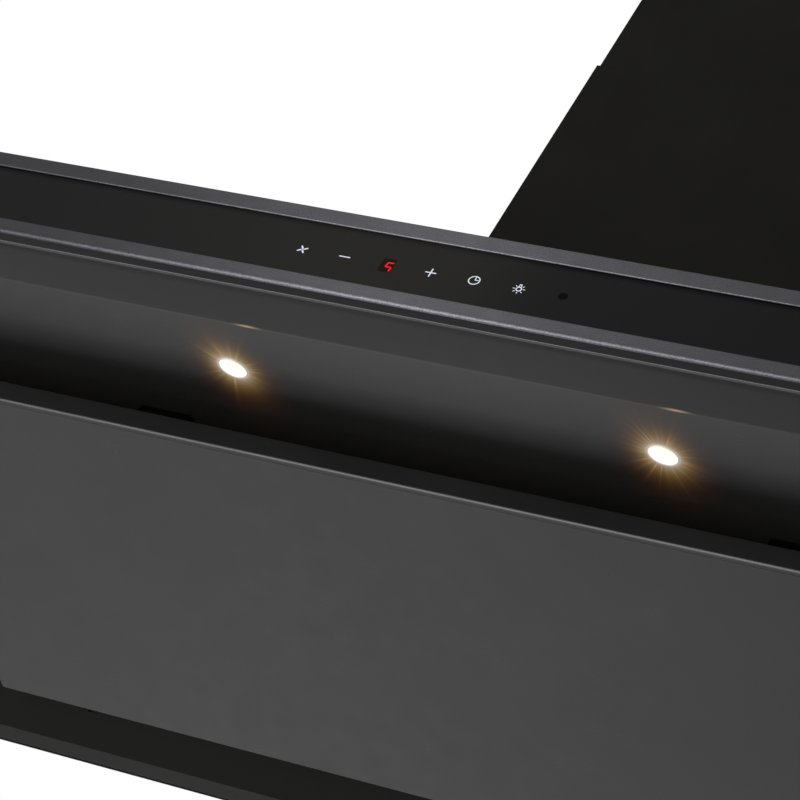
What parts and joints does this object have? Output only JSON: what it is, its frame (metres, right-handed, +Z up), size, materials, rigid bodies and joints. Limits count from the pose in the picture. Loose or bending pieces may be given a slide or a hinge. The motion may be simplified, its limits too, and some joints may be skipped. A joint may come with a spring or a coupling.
{
  "type": "chimney range hood",
  "caption": "Wall-mounted T-shaped chimney range hood with a perimeter suction panel, recessed lamps, touch glass front and telescopic chimney covers.",
  "frame": {"origin": "on the wall face, in the middle of the width, level with the canopy's lower rim", "axes": "+X along the front from left to right, +Y into the wall, +Z up"},
  "size_m": [0.9, 0.5, 0.75],
  "materials": {
    "satin_frame": "fine satin grey-black lacquer on aluminium",
    "black_glass": "polished opaque black glass",
    "canopy_paint": "matte black powder coat",
    "plate_paint": "satin black paint, smooth",
    "panel_paint": "matte dark grey powder coat",
    "chimney_paint": "matte black powder coat",
    "lamp_ring": "bright turned ring",
    "lamp_lens": "frosted diffuser, lit warm white",
    "cast_aluminium": "plain cast",
    "black_plastic": "moulded",
    "fan_plastic": "glass-filled moulding",
    "display_plastic": "tinted",
    "circuit_board": "solder mask",
    "capacitor_plastic": "pale moulded can",
    "zinc_steel": "galvanised sheet",
    "screw_steel": "blackened screw steel",
    "bearing_bronze": "sintered bronze",
    "filter_aluminium": "rolled sheet",
    "mesh_aluminium": "expanded mesh"
  },
  "bodies": {
    "hood": {"canopy_shell": "canopy_paint", "front_frame": "satin_frame", "glass_fascia": "black_glass", "control_carrier": "black_plastic", "touch_board": "circuit_board", "touch_springs": "zinc_steel", "speed_display": "display_plastic", "ir_receiver": "display_plastic", "front_light_plate": "plate_paint", "left_side_plate": "plate_paint", "right_side_plate": "plate_paint", "rear_plate": "plate_paint", "lamp_bezel_left": "lamp_ring", "lamp_bezel_right": "lamp_ring", "lamp_lens_left": "lamp_lens", "lamp_lens_right": "lamp_lens", "lamp_housing_left": "cast_aluminium", "lamp_housing_right": "cast_aluminium", "hinge_brackets": "zinc_steel", "hinge_pins": "zinc_steel", "catch_magnets": "black_plastic", "blower_box": "zinc_steel", "wall_plate": "zinc_steel", "scroll_casing_left": "black_plastic", "scroll_casing_right": "black_plastic", "motor_body": "cast_aluminium", "motor_bearings": "bearing_bronze", "motor_bracket": "zinc_steel", "capacitor": "capacitor_plastic", "electronics_box": "black_plastic", "cable_gland": "fan_plastic", "outlet_collar": "black_plastic", "damper_pin": "zinc_steel", "lower_chimney": "chimney_paint", "chimney_brackets": "zinc_steel", "canopy_screws": "screw_steel", "chimney_screws": "screw_steel", "grease_filter_frame_left": "filter_aluminium", "grease_filter_mesh_left": "mesh_aluminium", "latch_spring_left": "screw_steel", "grease_filter_frame_middle": "filter_aluminium", "grease_filter_mesh_middle": "mesh_aluminium", "latch_spring_middle": "screw_steel", "grease_filter_frame_right": "filter_aluminium", "grease_filter_mesh_right": "mesh_aluminium", "latch_spring_right": "screw_steel"},
    "suction_panel": {"suction_panel": "panel_paint", "panel_stiffeners": "zinc_steel", "panel_hinge_ears": "zinc_steel", "catch_strikers": "zinc_steel"},
    "impeller": {"impeller": "fan_plastic", "motor_shaft": "zinc_steel"},
    "damper_front": {"damper_flap_front": "fan_plastic"},
    "damper_rear": {"damper_flap_rear": "fan_plastic"},
    "upper_chimney": {"upper_chimney": "chimney_paint", "upper_bracket": "zinc_steel", "upper_screws": "screw_steel"},
    "filter_latch_left": {"filter_latch_left": "black_plastic"},
    "filter_latch_middle": {"filter_latch_middle": "black_plastic"},
    "filter_latch_right": {"filter_latch_right": "black_plastic"}
  },
  "joints": [
    {"name": "panel_hinge", "type": "hinge", "parent": "hood", "child": "suction_panel", "pos_m": [0, -0.052, 0.011], "axis": [1, 0, 0], "range_deg": [0, 85]},
    {"name": "chimney_slide", "type": "slide", "parent": "hood", "child": "upper_chimney", "axis": [0, 0, 1], "range_m": [-0.19, 0.15]},
    {"name": "impeller_spin", "type": "hinge", "parent": "hood", "child": "impeller", "pos_m": [0, -0.109, 0.16], "axis": [1, 0, 0], "continuous": true},
    {"name": "damper_front_hinge", "type": "hinge", "parent": "hood", "child": "damper_front", "pos_m": [0, -0.118, 0.377], "axis": [-1, 0, 0], "range_deg": [0, 75]},
    {"name": "damper_rear_hinge", "type": "hinge", "parent": "hood", "child": "damper_rear", "pos_m": [0, -0.118, 0.377], "axis": [1, 0, 0], "range_deg": [0, 75]},
    {"name": "latch_slide_left", "type": "slide", "parent": "hood", "child": "filter_latch_left", "axis": [0, 1, 0], "range_m": [0, 0.005], "stiffness_N_per_m": 300, "springref_m": -0.003, "deforming": ["latch_spring_left"]},
    {"name": "latch_slide_middle", "type": "slide", "parent": "hood", "child": "filter_latch_middle", "axis": [0, 1, 0], "range_m": [0, 0.005], "stiffness_N_per_m": 300, "springref_m": -0.003, "deforming": ["latch_spring_middle"]},
    {"name": "latch_slide_right", "type": "slide", "parent": "hood", "child": "filter_latch_right", "axis": [0, 1, 0], "range_m": [0, 0.005], "stiffness_N_per_m": 300, "springref_m": -0.003, "deforming": ["latch_spring_right"]}
  ]
}
